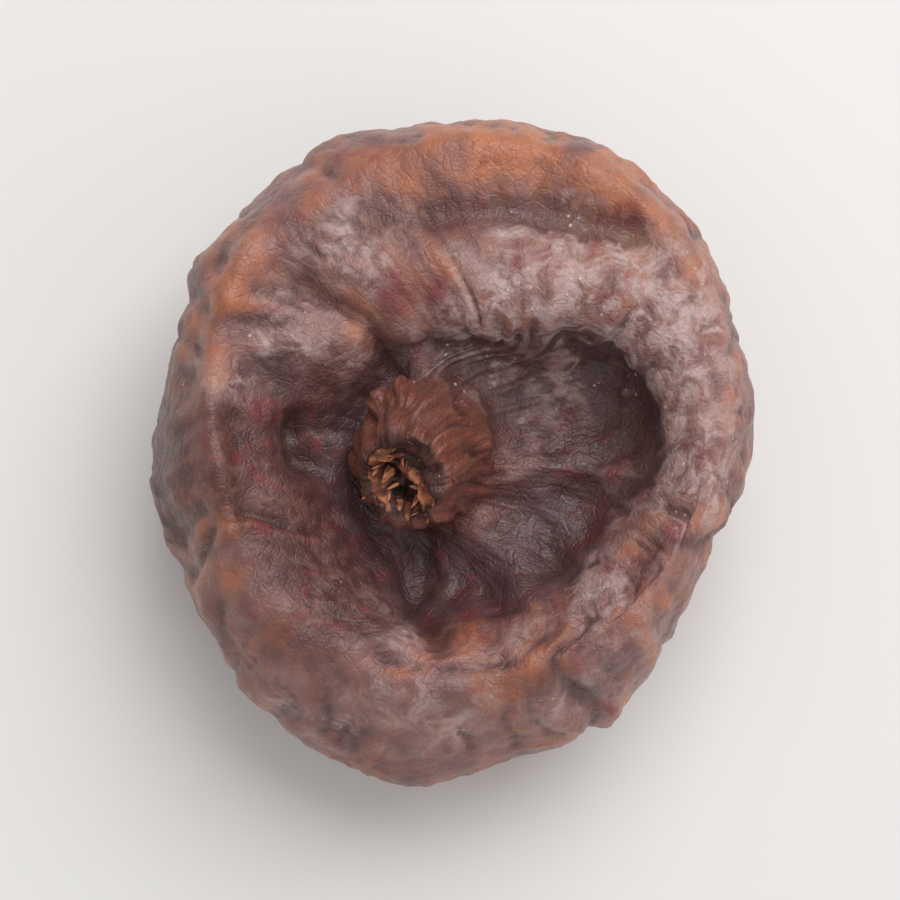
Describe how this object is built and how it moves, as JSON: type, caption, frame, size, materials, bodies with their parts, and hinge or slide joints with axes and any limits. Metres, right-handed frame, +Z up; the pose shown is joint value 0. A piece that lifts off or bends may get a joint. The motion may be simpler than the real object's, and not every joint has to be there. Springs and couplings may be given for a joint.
{
  "type": "dried fig",
  "caption": "Whole dried fig lying flat: a thick wrinkled cushion with pleated flanks, a sunken hollow in the top, and a short bent stalk standing in the hollow.",
  "frame": {"origin": "on the surface the fig rests on, under the middle of its bounding box", "axes": "+Z up, from the flat underside with the eye towards the hollow and the stalk; +Y along the fig's longer side; the stalk bends towards -X and -Y"},
  "size_m": [0.0372, 0.0414, 0.0196],
  "materials": {
    "fig_skin": "wrinkled, satin on the ridges, with a dull pale sugar bloom"
  },
  "bodies": {
    "root": {"dried_fig": "fig_skin"}
  },
  "joints": []
}
